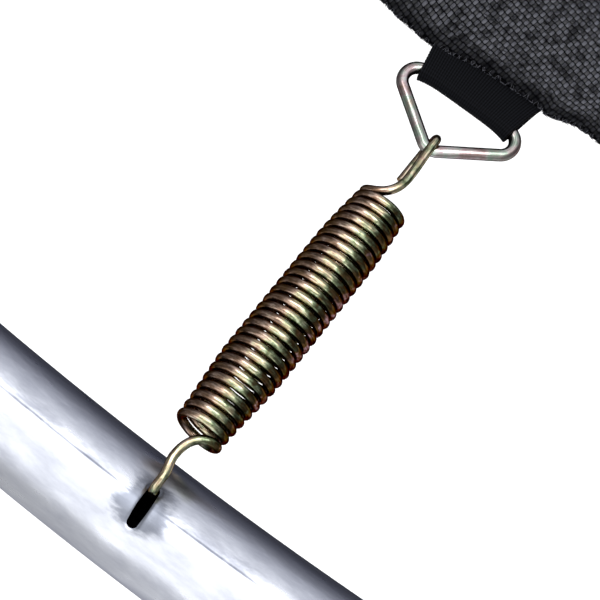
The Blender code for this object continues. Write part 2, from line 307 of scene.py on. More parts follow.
def ringLine():
    apex = Vector((0, ring["apexBend"]))
    bend = ring["cornerBend"]
    corner = Vector(((ring["width"] - ring["wire"]) / 2 - bend, ring["height"] - bend))
    reach = corner - apex
    tangent = math.atan2(reach.y, reach.x) - math.asin((bend - ring["apexBend"]) / reach.length)
    right = []
    for i in range(ring["arcSteps"] + 1):
        angle = math.pi / 2 - (math.pi - tangent) * i / ring["arcSteps"]
        right.append(corner + bend * Vector((math.cos(angle), math.sin(angle))))
    for i in range(ring["arcSteps"]):
        angle = tangent - math.pi / 2 - tangent * i / ring["arcSteps"]
        right.append(apex + ring["apexBend"] * Vector((math.cos(angle), math.sin(angle))))
    left = [Vector((-point.x, point.y)) for point in reversed(right)]
    butt = [Vector((ring["buttPlace"] + side * ring["buttGap"] / 2, ring["height"])) for side in (1, -1)]
    flat = butt[:1] + right + [Vector((0, 0))] + left + butt[1:]
    return [ringApex + across * point.x + along * point.y for point in flat]


def makeRing(material):
    line = snipped(ringLine(), ring["snip"])
    piece = addPiece("ringWire", markWire(wireMesh([line], ring["wire"], ring["sides"]), line), material)
    piece.data.set_sharp_from_angle(angle=ring["sharp"])
    return piece


# ---- tube: a slice of the round frame, with a punched and dished slot

tube = dict(radius=0.021, wall=0.0015, frameRadius=1.503, stations=56, sides=144, steps=130,
            slotLength=0.0174, slotWidth=0.0040, slotSwell=0.16, slotLean=math.radians(9.54),
            slotTurn=math.radians(3.7), slotSide=0.0010,
            dishDepth=0.0013, dishReach=0.0062, rimDepth=0.00035, rimReach=0.0007,
            gather=0.34, cutterSides=40, flankCuts=12, cutterFrom=0.6, cutterHeight=0.7,
            sharp=math.radians(40))
frameCentre = Vector((0, tubeLow.y + tube["radius"] + tube["frameRadius"], tube["radius"]))


def onTube(points):
    # along the tube, round it from the top towards the mat, and out from its middle
    side, depth = points[:, 0], frameCentre.y - points[:, 1]
    inward = tube["frameRadius"] - np.hypot(side, depth)
    up = points[:, 2] - frameCentre.z
    return np.arctan2(side, depth) * tube["frameRadius"], np.arctan2(inward, up), np.hypot(inward, up)


def offTube(run, angle, out):
    # the inverse of onTube
    reach = tube["frameRadius"] - out * np.sin(angle)
    turn = run / tube["frameRadius"]
    return np.stack([reach * np.sin(turn), frameCentre.y - reach * np.cos(turn),
                     frameCentre.z + out * np.cos(angle)], axis=1)


def fromSlot(run, angle):
    # distance to the slot's outline, along the surface
    x = run - tube["slotSide"]
    y = (angle - tube["slotLean"]) * tube["radius"]
    turn = tube["slotTurn"]
    lengthwise = y * math.cos(turn) - x * math.sin(turn)
    sideways = x * math.cos(turn) + y * math.sin(turn)
    straight = (tube["slotLength"] - tube["slotWidth"]) / 2
    beyond = np.maximum(np.abs(lengthwise) - straight, 0)
    return np.maximum(np.hypot(sideways, beyond) - tube["slotWidth"] / 2, 0)


def slotCutter():
    bm = bmesh.new()
    half = tube["slotWidth"] / 2
    straight = (tube["slotLength"] - tube["slotWidth"]) / 2
    bmesh.ops.create_circle(bm, segments=tube["cutterSides"], radius=half, cap_ends=True)
    for vert in bm.verts:
        vert.co.y += math.copysign(straight, vert.co.y)
    flanks = [edge for edge in bm.edges if edge.calc_length() > straight]
    bmesh.ops.subdivide_edges(bm, edges=flanks, cuts=tube["flankCuts"])
    for vert in bm.verts:
        vert.co.x *= 1 + tube["slotSwell"] * (1 - min(abs(vert.co.y) / straight, 1) ** 2)
    lid = bmesh.ops.extrude_face_region(bm, geom=bm.faces[:])
    raised = [part for part in lid["geom"] if isinstance(part, bmesh.types.BMVert)]
    bmesh.ops.translate(bm, verts=raised, vec=(0, 0, tube["radius"] * tube["cutterHeight"]))
    bmesh.ops.recalc_face_normals(bm, faces=bm.faces)
    lean = Matrix.Rotation(-tube["slotLean"], 4, "X")
    middle = Vector((tube["slotSide"], frameCentre.y - tube["frameRadius"], frameCentre.z))
    place = Matrix.Translation(middle) @ lean @ Matrix.Rotation(tube["slotTurn"], 4, "Z")
    place = place @ Matrix.Translation((0, 0, tube["radius"] * tube["cutterFrom"]))
    bmesh.ops.transform(bm, matrix=place, verts=bm.verts)
    cutter = bpy.data.objects.new("slotCutter", meshOf(bm))
    bpy.context.scene.collection.objects.link(cutter)
    return cutter


def makeTube(material):
    half = math.pi / tube["stations"]
    bm = bmesh.new()
    bmesh.ops.create_circle(bm, segments=tube["sides"], radius=tube["radius"])
    stand = Matrix.Rotation(-half, 4, "Z") @ Matrix.Translation((0, -tube["frameRadius"], 0))
    place = Matrix.Translation(frameCentre) @ stand @ Matrix.Rotation(math.pi / 2, 4, "Y")
    bmesh.ops.transform(bm, matrix=place, verts=bm.verts)
    bmesh.ops.spin(bm, geom=bm.edges[:], cent=frameCentre, axis=(0, 0, 1), angle=2 * half,
                   steps=tube["steps"])
    bmesh.ops.remove_doubles(bm, verts=bm.verts, dist=0.00001)
    bmesh.ops.recalc_face_normals(bm, faces=bm.faces)
    shell = bpy.data.objects.new("shell", movedPoints(meshOf(bm), rounded))
    bpy.context.scene.collection.objects.link(shell)
    wall = shell.modifiers.new("wall", "SOLIDIFY")
    wall.thickness = tube["wall"]
    wall.offset = -1
    slot = shell.modifiers.new("slot", "BOOLEAN")
    slot.operation = "DIFFERENCE"
    slot.object = slotCutter()
    mesh = appliedMesh(shell)
    points = np.empty(len(mesh.vertices) * 3)
    mesh.vertices.foreach_get("co", points)
    run, angle, out = onTube(points.reshape(-1, 3))
    flat = np.stack([run, angle * tube["radius"], out], axis=1)
    mesh.attributes.new("flat", "FLOAT_VECTOR", "POINT").data.foreach_set("vector", flat.ravel())
    movedPoints(mesh, dished)
    bpy.data.objects.remove(slot.object)
    bpy.data.objects.remove(shell)
    piece = addPiece("frameTube", mesh, material)
    piece.data.set_sharp_from_angle(angle=tube["sharp"])
    return piece


def gathered(share):
    # from -1 to 1, with the places drawn together round 0
    return tube["gather"] * share + (1 - tube["gather"]) * share ** 3


def rounded(points):
    # onto the round tube, with the grid's lines drawn together at the slot
    run, angle, out = onTube(points)
    halfRun = tube["frameRadius"] * math.pi / tube["stations"]
    turn = (angle - tube["slotLean"] + math.pi) % (2 * math.pi) - math.pi
    angle = tube["slotLean"] + gathered(turn / math.pi) * math.pi
    return offTube(gathered(run / halfRun) * halfRun, angle, np.full_like(out, tube["radius"]))


def dished(points):
    # the punch draws the wall down round the slot, and rolls the slot's rim over
    run, angle, out = onTube(points)
    away = fromSlot(run, angle)
    drop = tube["dishDepth"] * np.exp(-(away / tube["dishReach"]) ** 2)
    drop += tube["rimDepth"] * np.exp(-(away / tube["rimReach"]) ** 2)
    drop[np.abs(angle) > math.pi / 2] = 0
    return offTube(run, angle, out - drop)


# ---- cloth: made flat, then wrapped along the line that the cloth takes

def lineOf(points):
    # a profile in (y, z) that can be read at any length along it, with its outward direction
    points = np.array(points)
    length = np.concatenate([[0], np.cumsum(np.linalg.norm(np.diff(points, axis=0), axis=1))])
    step = np.gradient(points, axis=0)
    step /= np.linalg.norm(step, axis=1)[:, None]
    return dict(length=length, points=points, out=np.stack([-step[:, 1], step[:, 0]], axis=1))


def readLine(line, place):
    point = [np.interp(place, line["length"], line["points"][:, i]) for i in (0, 1)]
    out = [np.interp(place, line["length"], line["out"][:, i]) for i in (0, 1)]
    return point, out


def arcPoints(centre, radius, start, sweep, steps):
    angles = start + sweep * np.arange(steps + 1) / steps
    return [centre + radius * np.array((math.cos(a), math.sin(a))) for a in angles]


def wrapped(mesh, place):
    # keep the flat place of every point for the materials, then lay the cloth
    flat = np.empty(len(mesh.vertices) * 3)
    mesh.vertices.foreach_get("co", flat)
    mesh.attributes.new("flat", "FLOAT_VECTOR", "POINT").data.foreach_set("vector", flat)
    return movedPoints(mesh, place)


def flatGrid(xPlaces, yPlaces):
    # a grid with its rows and columns at the given places
    bm = bmesh.new()
    bmesh.ops.create_grid(bm, x_segments=len(xPlaces) - 1, y_segments=len(yPlaces) - 1, size=0.5)
    for vert in bm.verts:
        column = round((vert.co.x + 0.5) * (len(xPlaces) - 1))
        row = round((vert.co.y + 0.5) * (len(yPlaces) - 1))
        vert.co = (xPlaces[column], yPlaces[row], 0)
    return meshOf(bm)


def thickened(mesh, thickness, name, material):
    piece = addPiece(name, mesh, material)
    ply = piece.modifiers.new("thickness", "SOLIDIFY")
    ply.thickness = thickness
    ply.offset = 0
    mesh = appliedMesh(piece)
    bpy.data.objects.remove(piece)
    piece = addPiece(name, mesh, material)
    piece.data.set_sharp_from_angle(angle=cloth["sharp"])
    return piece


cloth = dict(edge=matLow.y, width=matHigh.x - matLow.x, depth=matHigh.y - matLow.y, top=matHigh.z,
             thickness=0.0008, core=0.00042, plies=0.0010, hem=0.036, dropStart=0.041, dropLength=0.016,
             hemSteps=30, foldSteps=12, topSteps=20, dropSteps=16,
             hemRow=0.002, foldRow=0.00025, foldReach=0.003, topRow=0.0012, columns=148,
             sharp=math.radians(60), swell=0.0005, swellFrom=0.004, swellTo=0.052, swellFade=0.02,
             edgeReach=0.011, edgeEase=0.0012,    # the edge wavers: places along X and Y, in mm
             edgeLine=((-73, 72.4), (-60, 71.6), (-46.4, 70.2), (-38.6, 68.7), (-32.5, 68.2), (-26.8, 67.6),
                       (-22.1, 67.2), (-18.6, 68.3), (-12.6, 69.1), (-6.2, 70.5), (1.0, 71.4), (9.4, 71.9),
                       (17.8, 72.1), (23.1, 71.9), (24.6, 70.6), (29.4, 72.2), (36.6, 74.2), (42.3, 74.2),
                       (46.7, 73.9), (60, 74.6), (73, 73.4)))


def clothProfile():
    # hem ply, fold at the edge, top ply, and the drop to the surface; y counts from the mat's edge
    upper = cloth["top"] - cloth["thickness"] / 2
    lower = upper - cloth["plies"]
    fold = cloth["plies"] / 2
    nose = np.array((fold + cloth["thickness"] / 2, lower + fold))
    steps = cloth["hemSteps"]
    line = [(cloth["hem"] - i * (cloth["hem"] - nose[0]) / steps, lower) for i in range(steps)]
    line += [tuple(point) for point in arcPoints(nose, fold, -math.pi / 2, -math.pi, cloth["foldSteps"])]
    steps = cloth["topSteps"]
    line += [(nose[0] + (cloth["dropStart"] - nose[0]) * i / steps, upper) for i in range(1, steps)]
    low = cloth["thickness"] / 2
    for i in range(cloth["dropSteps"] + 1):
        t = i / cloth["dropSteps"]
        line.append((cloth["dropStart"] + cloth["dropLength"] * t, upper + (low - upper) * smoothStep(t)))
    line.append((cloth["depth"], low))
    return lineOf(line)


clothLine = clothProfile()
noseLength = clothLine["length"][cloth["hemSteps"]]    # where the hem ply turns into the fold
clothLength = clothLine["length"][-1]


def edgeWave(x):
    # how far the cloth's edge lies from its straight line, in a wavering line
    places, edges = np.array(cloth["edgeLine"]).T / 1000
    near = [np.interp(x + step * cloth["edgeEase"], places, edges) for step in (-1, -0.5, 0, 0.5, 1)]
    return np.mean(near, axis=0) - cloth["edge"]


def onCloth(flat):
    # (across, along the cloth, lift) to its place on the mat
    (inset, height), (outY, outZ) = readLine(clothLine, flat[:, 1])
    x = flat[:, 0]
    wave = edgeWave(x)
    near = np.exp(-(inset / cloth["edgeReach"]) ** 2)
    inner = np.clip((inset - cloth["swellFrom"]) / cloth["swellFade"], 0, 1)
    inner *= np.clip((cloth["swellTo"] - inset) / cloth["swellFade"], 0, 1)
    swell = cloth["swell"] * inner * (np.sin(x * 95 + 0.6) + 0.6 * np.sin(x * 57 - inset * 160) + 0.9)
    lift = flat[:, 2]
    return np.stack([x, cloth["edge"] + inset + wave * near + outY * lift,
                     height + swell * (flat[:, 1] > noseLength) + outZ * lift], axis=1)


def makeClothCore(material):
    folded = noseLength + cloth["foldReach"]
    rows = list(np.arange(0, noseLength, cloth["hemRow"]))
    rows += list(np.arange(noseLength, folded, cloth["foldRow"]))
    rows += list(np.arange(folded, clothLength, cloth["topRow"])) + [clothLength]
    columns = np.linspace(-cloth["width"] / 2, cloth["width"] / 2, cloth["columns"])
    return thickened(wrapped(flatGrid(columns, rows), onCloth), cloth["core"], "matCloth", material)


weave = dict(turn=math.radians(-13.0), fillPitch=0.00212, warpPitch=0.00145,
             fillWidth=0.00195, warpWidth=0.00134, thick=0.00009, wave=0.00016, lift=0.00038,
             samples=3, wander=0.00007, under=0.0015,
             crown=0.14, plateau=1.45)     # a tape is wider, and flat, where it lies on top


def tapeLines(direction, spacing, crossing, side):
    # every tape of one set, as lines in the flat cloth, cut at its sides
    normal = np.array((-direction[1], direction[0]))
    low = np.array((-cloth["width"] / 2, noseLength - weave["under"]))
    high = np.array((cloth["width"] / 2, clothLength))
    corners = np.array([(x, y) for x in (low[0], high[0]) for y in (low[1], high[1])])
    reach = corners @ normal / spacing
    lines = []
    for number in range(math.ceil(reach.min()), math.floor(reach.max()) + 1):
        foot = normal * spacing * number
        enter = np.minimum((low - foot) / direction, (high - foot) / direction).max()
        leave = np.maximum((low - foot) / direction, (high - foot) / direction).min()
        step = crossing / weave["samples"]
        places = [k * step for k in range(math.ceil(enter / step), math.floor(leave / step) + 1)]
        if len(places) < 4:
            continue
        line = []
        for t in places:
            over = min(max(weave["plateau"] * math.cos(math.pi * (t / crossing + number)), -1), 1)
            wander = weave["wander"] * math.sin(number * 12.9898 + t * 310) * math.cos(number * 4.1 - t * 170)
            point = foot + direction * t + normal * wander
            line.append((point[0], point[1], weave["lift"] + side * weave["wave"] * over,
                         1 + side * weave["crown"] * over))
        lines.append(line)
    return lines


def makeTapes(name, turn, spacing, crossing, width, side, material):
    direction = np.array((math.cos(turn), math.sin(turn)))
    lines = tapeLines(direction, spacing, crossing, side)
    mesh = wireMesh(lines, weave["thick"], 4, (width - weave["thick"]) / 2)
    return addPiece(name, wrapped(mesh, onCloth), material)


stitch = dict(length=0.0030, gap=0.0012, thread=0.0004, sink=0.00064, foldSide=0.0016, uneven=0.0001, steps=6,
              hemPlaces=(0.005, 0.031), tabPlaces=(0.009, 0.016, 0.023), hemWidth=0.142, tabWidth=0.038)


def makeStitches(name, places, width, material):
    # lockstitches, each a short thread whose ends dive between the tapes
    lines = []
    pitch = stitch["length"] + stitch["gap"]
    count = int(width / pitch)
    top = cloth["thickness"] / 2 + stitch["thread"] * 0.55
    for place in places:
        for i in range(count):
            x = (i - (count - 1) / 2) * pitch
            row = noseLength + stitch["foldSide"] + place + stitch["uneven"] * math.sin(i * 7.3)
            line = []
            for j in range(stitch["steps"] + 1):
                t = j / stitch["steps"] * 2 - 1
                line.append((x + t * stitch["length"] / 2, row, top - stitch["sink"] * t ** 6))
            lines.append(line)
    return addPiece(name, wrapped(wireMesh(lines, stitch["thread"], 8), onCloth), material)


stray = dict(count=900, length=0.0013, thick=0.00008, reach=0.0010, lift=0.0004, arch=0.0004, wander=0.0009,
             turn=2.6, points=(0, 0.35, 0.7, 1))


def makeStrays(material):
    # broken filaments standing off the fold
    lines = []
    for i in range(stray["count"]):
        x = (i / (stray["count"] - 1) - 0.5) * stitch["hemWidth"] + stray["wander"] * math.sin(i * 12.9898)
        start = noseLength + stray["reach"] * math.sin(i * 3.31)
        turn = stray["turn"] * math.sin(i * 4.137)
        length = stray["length"] * (0.4 + 0.6 * abs(math.sin(i * 7.77)))
        lines.append([(x + math.sin(turn) * length * t, start - math.cos(turn) * length * t,
                       stray["lift"] + stray["arch"] * math.sin(math.pi * t * 0.8)) for t in stray["points"]])
    return addPiece("strayFilaments", wrapped(wireMesh(lines, stray["thick"], 4), onCloth), material)


# ---- webbing: the tab folded round the ring's bar, and the strip under the mat's edge

webbing = dict(thickness=0.0011, clearance=0.0001, sewn=0.034, width=0.0455, barWidth=0.0380,
               ribPitch=0.00105, ribHeight=0.00008, pickPitch=0.0012, pickHeight=0.00005,
               bow=0.0009, flare=0.0005, curl=0.0005, sag=0.00045, plyGap=0.0002, meet=0.002,
               pullFrom=-0.003, pullTo=0.001,
               sewnSteps=16, barSteps=40, backSteps=14, fineRow=0.00033, columns=150, ply=0.9)


def tabProfile():
    # sewn end, bar, round it, and back over the top; real places in (y, z)
    radius = ring["wire"] / 2 + webbing["clearance"] + webbing["thickness"] / 2
    bar = np.array((ringBar.y, ringBar.z))
    edge = cloth["edge"]
    under = cloth["top"] - cloth["thickness"] - cloth["plies"]
    upper = under - webbing["clearance"] - webbing["thickness"] / 2
    lower = upper - webbing["thickness"] - webbing["plyGap"]
    leanLow = math.atan2(lower - bar[1] + radius, edge - bar[0])
    leanHigh = math.atan2(bar[1] + radius - upper, edge - bar[0])
    sewn, steps, meet = webbing["sewn"], webbing["sewnSteps"], webbing["meet"]
    line = [(edge + sewn * (1 - i / steps), lower) for i in range(steps + 1)]
    sweep = -math.pi - leanLow - leanHigh
    turn = arcPoints(bar, radius, leanLow - math.pi / 2, sweep, webbing["barSteps"])
    line += [tuple(point) for point in turn]
    start = np.array(line[-1])
    end = np.array((edge + meet, upper))
    for i in range(1, webbing["backSteps"]):
        t = i / webbing["backSteps"]
        line.append(tuple(start + (end - start) * t + np.array((0, webbing["sag"] * math.sin(math.pi * t)))))
    line += [(edge + meet + (sewn - meet) * i / steps, upper) for i in range(steps + 1)]
    return lineOf(line)


tabLine = tabProfile()
tabLength = tabLine["length"][-1]
barStart = webbing["sewnSteps"] + 1                # the first and last points round the bar
barEnd = barStart + webbing["barSteps"]
tabFold = (tabLine["length"][barStart] + tabLine["length"][barEnd]) / 2


def onTab(flat):
    (y, z), (outY, outZ) = readLine(tabLine, flat[:, 1])
    x = flat[:, 0]
    inner, outer = ringBar.y + webbing["pullFrom"], cloth["edge"] + webbing["pullTo"]
    pull = np.clip(1 - (y - inner) / (outer - inner), 0, 1)
    share = 1 - (1 - webbing["barWidth"] / webbing["width"]) * pull ** 0.8
    edgeward = np.abs(x) / (webbing["width"] / 2)
    rib = webbing["ribHeight"] * np.cos(2 * math.pi * x / webbing["ribPitch"])
    pick = webbing["pickHeight"] * np.cos(2 * math.pi * flat[:, 1] / webbing["pickPitch"])
    pick *= np.sign(np.cos(math.pi * x / webbing["ribPitch"]))
    lift = rib + pick + flat[:, 2] + webbing["flare"] * pull ** 1.5 * edgeward ** 4
    curl = webbing["curl"] * pull * (1 - pull) * 4 * edgeward ** 6
    return np.stack([x * share, y + outY * lift - webbing["bow"] * pull * edgeward ** 5,
                     z + outZ * lift + curl * np.sign(flat[:, 1] - tabFold)], axis=1)


def makeTab(material):
    # fine rows where it shows and bends, plain ones where it is sewn
    start, end = tabLine["length"][barStart - 5], tabLine["length"][barEnd + webbing["backSteps"]]
    rows = list(np.linspace(0, start, 14)[:-1]) + list(np.arange(start, end, webbing["fineRow"]))
    rows += list(np.linspace(end, tabLength, 14))
    columns = np.linspace(-webbing["width"] / 2, webbing["width"] / 2, webbing["columns"])
    thickness = webbing["thickness"] * webbing["ply"]      # the ribs and picks take the rest
    return thickened(wrapped(flatGrid(columns, rows), onTab), thickness, "webbingTab", material)


def makeEdgeWebbing(material):
    low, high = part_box("edge_webbing")
    columns = np.arange(low.x, high.x + 0.0001, 0.001)
    rows = np.arange(low.y, high.y + 0.0001, 0.001)

    def under(flat):
        wave = edgeWave(flat[:, 0]) * np.exp(-((flat[:, 1] - cloth["edge"]) / cloth["edgeReach"]) ** 2)
        return flat + np.stack([wave * 0, wave, wave * 0 + (low.z + high.z) / 2], axis=1)

    mesh = wrapped(flatGrid(columns, rows), under)
    return thickened(mesh, high.z - low.z, "edgeWebbing", material)


# ---- materials

def galvanisedSteel():
    # hot-dip galvanised and drawn tube: satin blue-grey, mottled where the zinc froze, with a dull weld line
    look = dict(dark="#a4a7b1", light="#bfc2ca", mottle=0.005, stretch=0.35,
                streak=0.0007, streakStretch=0.06, seam=0.0046, seamWidth=0.0008, seamShare=0.55,
                # the weld line's dull grey, which is also the painted shade beside the seam
                seamShadeReach=0.007, seamShadeShare=0.45, weldLineAndShade="#6c6e76",
                # painted shade round the slot's dish: its colour, where it starts, its reach and its share
                dull="#646872", dishShadeFrom=0.55, dishShadeReach=0.0125, dishShadeShare=0.9, ragged=0.0022,
                inside="#08080a", skin=0.0008)
    material, tree, shader = newMaterial("galvanisedSteel", {"Metallic": 1.0})
    flat = addNode(tree, "Attribute", {"attribute_name": "flat"}).outputs["Vector"]
    drawn = addNode(tree, "Mapping", inputs={"Vector": flat, "Scale": (look["stretch"], 1, 1)})
    mottle = addNode(tree, "TexNoise", inputs={
        "Vector": drawn, "Scale": 1 / look["mottle"], "Detail": 6.0, "Roughness": 0.6, "Distortion": 0.15})
    tone = addNode(tree, "ValToRGB", {"stops": [(0.3, look["dark"]), (0.68, look["light"])]}, (mottle,))
    # the weld line, and beside it on the mat's side a band of painted shade in patches
    parts = addNode(tree, "SeparateXYZ", inputs=(flat,))
    offset = addNode(tree, "Math", {"operation": "SUBTRACT"}, (parts.outputs["Y"], look["seam"]))
    away = addNode(tree, "Math", {"operation": "ABSOLUTE"}, (offset,))
    seam = addNode(tree, "MapRange", eased, (away, 0.0, look["seamWidth"], look["seamShare"], 0.0))
    beside = addNode(tree, "MapRange", eased, (offset, -look["seamWidth"], look["seamWidth"] / 2))
    beyond = addNode(tree, "MapRange", eased, (offset, 0.0, look["seamShadeReach"], look["seamShadeShare"], 0.0))
    patchy = addNode(tree, "MapRange", inputs=(mottle, 0.4, 0.62, 1.0, 0.15))
    seamShade = addNode(tree, "Math", times, (beside, beyond))
    weldLineAndShade = addNode(tree, "Math", {"operation": "MULTIPLY_ADD", "use_clamp": True}, (seamShade, patchy, seam))
    colour = addNode(tree, "MixRGB", {"blend_type": "MULTIPLY"}, (weldLineAndShade, tone, linear(look["weldLineAndShade"])))
    # painted shade round the slot, over the dish where the punch drew the wall down
    slotPlace = (tube["slotSide"], tube["slotLean"] * tube["radius"], tube["radius"])
    outward = addNode(tree, "VectorMath", {"operation": "DISTANCE"}, (flat, slotPlace)).outputs["Value"]
    ragged = addNode(tree, "MapRange", inputs=(mottle, 0.35, 0.65, -look["ragged"], look["ragged"]))
    around = addNode(tree, "Math", {"operation": "ADD"}, (outward, ragged))
    reach = look["dishShadeReach"]
    dishShade = addNode(tree, "MapRange", eased,
                      (around, reach * look["dishShadeFrom"], reach, look["dishShadeShare"], 0.0))
    dishShaded = addNode(tree, "MixRGB", inputs=(dishShade, colour, linear(look["dull"])))
    # painted shade: the inner wall and the slot's cut sides go near black
    depth = addNode(tree, "MapRange", inputs=(parts.outputs["Z"], tube["radius"] - look["skin"],
                                              tube["radius"] - look["skin"] / 4))
    wall = addNode(tree, "MixRGB", inputs=(depth, linear(look["inside"]), dishShaded))
    gloss = addNode(tree, "MapRange", inputs=(mottle, 0.3, 0.7, 0.36, 0.26))
    streaky = addNode(tree, "Mapping", inputs={"Vector": flat, "Scale": (look["streakStretch"], 1, 1)})
    streaks = addNode(tree, "TexNoise", inputs={
        "Vector": streaky, "Scale": 1 / look["streak"], "Detail": 3.0})
    bump = addNode(tree, "Bump", inputs={"Strength": 0.25, "Distance": 0.00003, "Height": streaks})
    soft = addNode(tree, "Bump", inputs={
        "Strength": 0.35, "Distance": 0.0004, "Height": mottle, "Normal": bump})
    fillSockets(tree, shader, {"Base Color": wall, "Roughness": gloss, "Normal": soft})
    return material


def platedWire(name, finish, look):
    # drawn wire, plated: streaks run along it, and the thin passivated film changes colour over it; a share
    # of the colour can also be painted from side to side as highlight and shade
    material, tree, shader = newMaterial(name, finish)
    place = addNode(tree, "TexCoord").outputs["Object"]
    drift = addNode(tree, "TexNoise", inputs={
        "Vector": place, "Scale": 1 / look["drift"], "Detail": 3.0, "Roughness": 0.6})
    # painted light: the colour also follows X, across the coil, as painted highlight, shade and reflection
    side = addNode(tree, "SeparateXYZ", inputs=(place,)).outputs["X"]
    sideways = addNode(tree, "Math", timesPlus, (side, look["paintedLightAcross"], 0.5 - look["driftShare"] / 2))
    turned = addNode(tree, "Math", timesPlus, (drift, look["driftShare"], sideways))
    filmAndPaintedLight = addNode(tree, "ValToRGB", {"stops": look["hues"]}, (turned,))
    flat = addNode(tree, "Attribute", {"attribute_name": "flat"}).outputs["Vector"]
    drawn = addNode(tree, "Mapping", inputs={"Vector": flat, "Scale": (look["stretch"], 1, 1)})
    streaks = addNode(tree, "TexNoise", inputs={
        "Vector": drawn, "Scale": 1 / look["streak"], "Detail": 4.0, "Roughness": 0.65})
    worn = addNode(tree, "ValToRGB", {"stops": look["wear"]}, (streaks,))
    colour = addNode(tree, "MixRGB", {"blend_type": "MULTIPLY"}, (look["wearShare"], filmAndPaintedLight, worn))
    gloss = addNode(tree, "MapRange", inputs=(streaks, 0.35, 0.65, look["dull"], look["bright"]))
    bump = addNode(tree, "Bump", inputs={"Strength": 0.3, "Distance": 0.00005, "Height": streaks})
    fillSockets(tree, shader, {"Base Color": colour, "Roughness": gloss, "Normal": bump})
    return material


def yellowZinc():
    # yellow chromate on zinc: gold running into rose and green, brown where it is looked at along the
    # surface; across the coil the colour is painted light: a cream highlight in the middle, brown shade on
    # the left, olive-brown shade on the right and a rose reflection at the right edge
    return platedWire("yellowZinc", {"Metallic": 1.0, "Specular Tint": linear("#a08070")}, dict(
        drift=0.004, driftShare=0.4, paintedLightAcross=19.0, stretch=0.16, streak=0.0007, dull=0.2, bright=0.1,
        wearShare=0.7, hues=[
            # read from the coil's left side to its right: painted shade, a painted highlight in the middle,
            # painted shade, then a painted reflection at the edge
            (0.30, "#7a6248"), (0.39, "#937b6c"), (0.45, "#bca79a"), (0.5, "#c4baa0"), (0.55, "#a5ad92"),
            (0.59, "#6c7a60"), (0.64, "#534a32"), (0.70, "#6b5236"), (0.76, "#b596a2")],
        wear=[(0.38, "#4a3a26"), (0.48, "#a89a80"), (0.58, "#ffffff")]))


def clearZinc():
    # clear passivated zinc: silver with faint rose and green, brown where it is looked at along the surface
    return platedWire("clearZinc", {"Metallic": 1.0, "Specular Tint": linear("#5a4738")}, dict(
        drift=0.008, driftShare=1.0, paintedLightAcross=0.0, stretch=0.07, streak=0.0011, dull=0.24, bright=0.12,
        wearShare=0.7, hues=[
            (0.3, "#80705c"), (0.42, "#a59396"), (0.5, "#adaba9"), (0.58, "#94a59a"), (0.7, "#a29c93")],
        wear=[(0.36, "#6e655c"), (0.48, "#c9c4bd"), (0.58, "#ffffff")]))


def ribbedWebbing():
    # woven polyester webbing: matt black, each rib and pick catching a little light
    material, tree, shader = newMaterial("ribbedWebbing", {"Roughness": 0.6, "Specular IOR Level": 0.03})
    flat = addNode(tree, "Attribute", {"attribute_name": "flat"}).outputs["Vector"]
    parts = addNode(tree, "SeparateXYZ", inputs=(flat,))
    ribTurn = addNode(tree, "Math", times, (parts.outputs["X"], 2 * math.pi / webbing["ribPitch"]))
    rib = addNode(tree, "Math", {"operation": "COSINE"}, (ribTurn,))
    pickTurn = addNode(tree, "Math", times, (parts.outputs["Y"], 2 * math.pi / webbing["pickPitch"]))
    pick = addNode(tree, "Math", {"operation": "COSINE"}, (pickTurn,))
    cell = addNode(tree, "Math", timesPlus, (pick, 0.45, rib))
    tone = addNode(tree, "MapRange", inputs=(cell, -1.2, 1.4))
    colour = addNode(tree, "ValToRGB", {"stops": [(0.2, "#010101"), (0.9, "#0f1014")]}, (tone,))
    bump = addNode(tree, "Bump", inputs={"Strength": 0.7, "Distance": 0.00008, "Height": tone})
    fillSockets(tree, shader, {"Base Color": colour, "Normal": bump})
    return material


